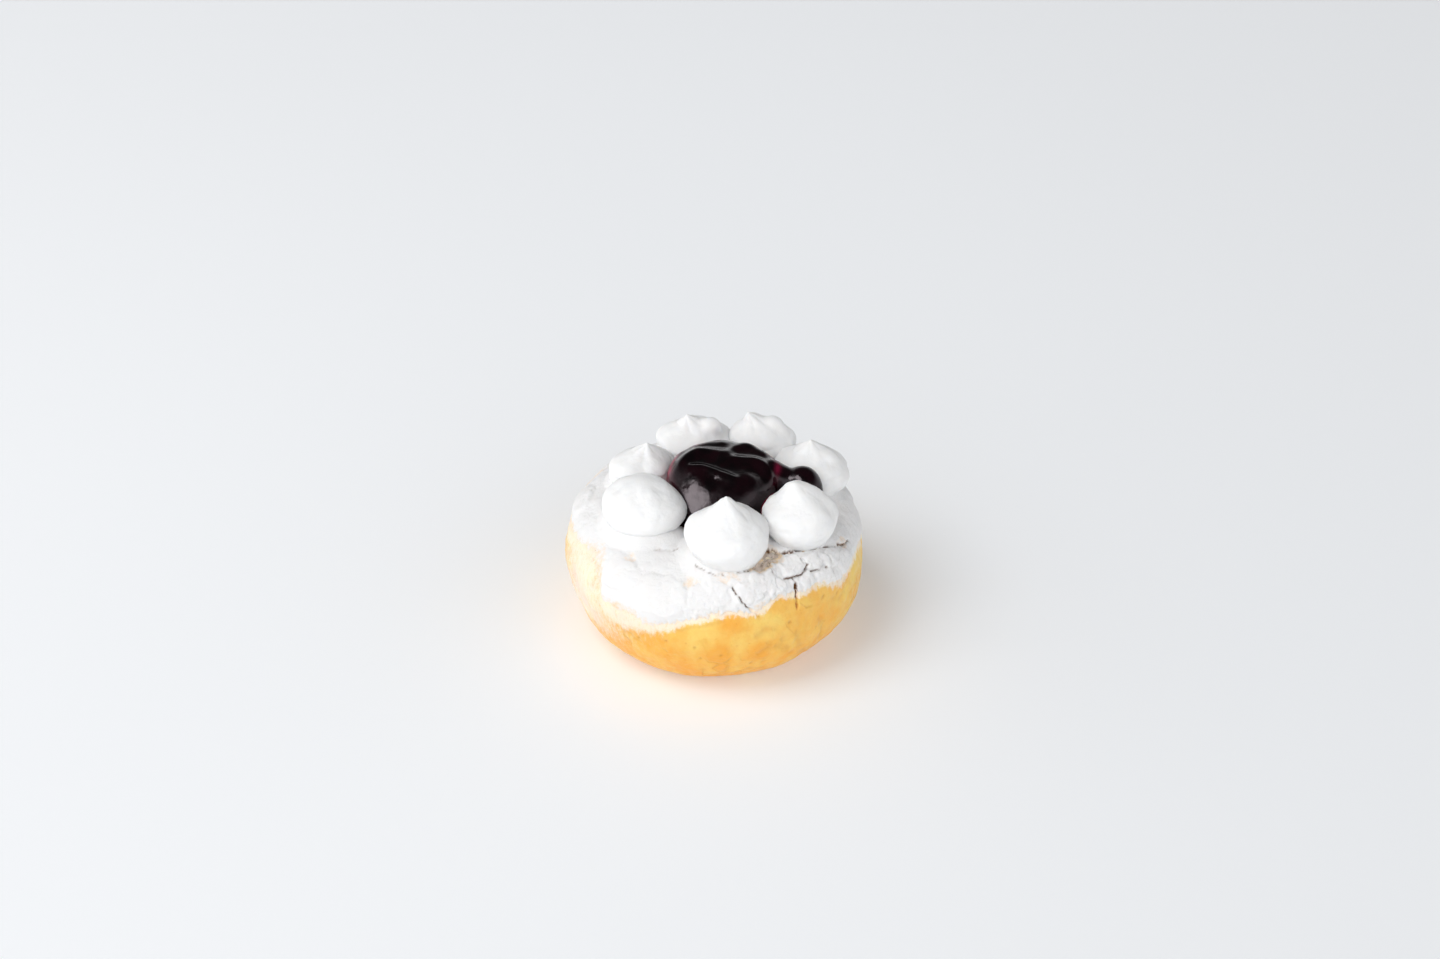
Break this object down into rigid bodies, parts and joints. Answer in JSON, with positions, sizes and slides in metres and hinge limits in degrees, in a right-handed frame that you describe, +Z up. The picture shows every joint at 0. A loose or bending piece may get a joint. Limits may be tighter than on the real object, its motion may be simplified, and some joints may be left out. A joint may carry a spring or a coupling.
{
  "type": "ring doughnut",
  "caption": "Tall ring doughnut with a coat of icing sugar, a ring of piped cream dollops on its crown and a mound of blueberry jam filling its hole.",
  "frame": {"origin": "middle of the doughnut's outline, on the surface that it rests on", "axes": "+Z up along the ring's axis; -Y is the front, the side with the largest dollop; the jam's tongue runs out towards +X"},
  "size_m": [0.0866, 0.0866, 0.0595],
  "materials": {
    "fried_dough": "golden fried crust, satin",
    "icing_sugar": "dry white powder, matt",
    "whipped_cream": "soft white cream, satin",
    "blueberry_jam": "dark wet jelly, glossy"
  },
  "bodies": {
    "root": {"dough_ring": "fried_dough", "sugar_coat": "icing_sugar", "blueberry_jam": "blueberry_jam", "cream_dollop_1": "whipped_cream", "cream_dollop_2": "whipped_cream", "cream_dollop_3": "whipped_cream", "cream_dollop_4": "whipped_cream", "cream_dollop_5": "whipped_cream", "cream_dollop_6": "whipped_cream", "cream_dollop_7": "whipped_cream"}
  },
  "joints": []
}
